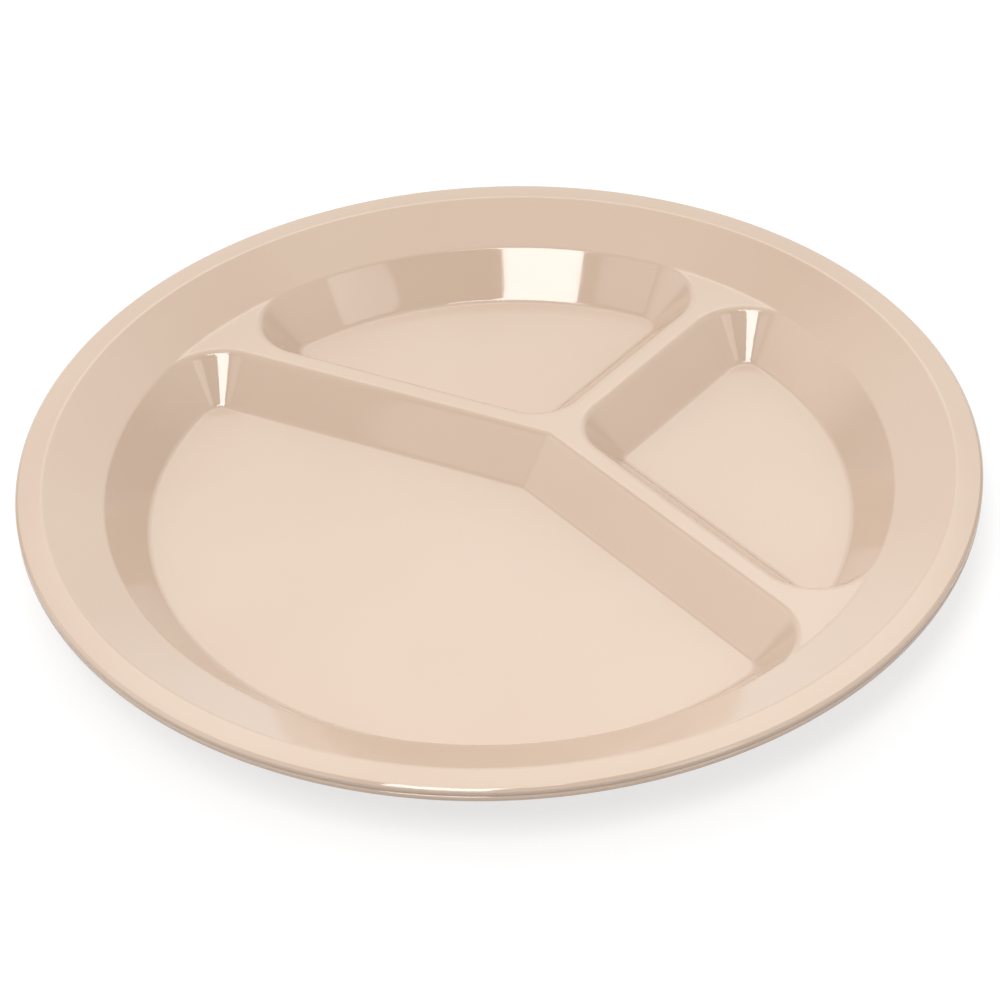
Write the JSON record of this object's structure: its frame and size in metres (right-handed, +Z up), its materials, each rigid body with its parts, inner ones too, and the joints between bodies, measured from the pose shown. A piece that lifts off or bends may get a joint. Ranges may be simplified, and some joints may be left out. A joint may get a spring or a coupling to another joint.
{
  "type": "divided compartment plate",
  "caption": "Round divided plate with a sloping rim, a grooved lip edge and sloped food wells parted by a branching divider; it stands on low ridges under the wells.",
  "frame": {"origin": "centre of the plate, on the plane that its foot ridges stand on", "axes": "+Z up out of the wells; +Y along the divider that parts the left and right wells, away from the large well; +X to the right of that divider"},
  "size_m": [0.254, 0.254, 0.0223],
  "materials": {
    "melamine": "glossy compression-moulded melamine, warm tan right through"
  },
  "bodies": {
    "root": {"rim_lip": "melamine", "rim_flange": "melamine", "divider_crown": "melamine", "large_well_wall": "melamine", "large_well_floor": "melamine", "large_well_foot": "melamine", "left_well_wall": "melamine", "left_well_floor": "melamine", "left_well_foot": "melamine", "right_well_wall": "melamine", "right_well_floor": "melamine", "right_well_foot": "melamine"}
  },
  "joints": []
}
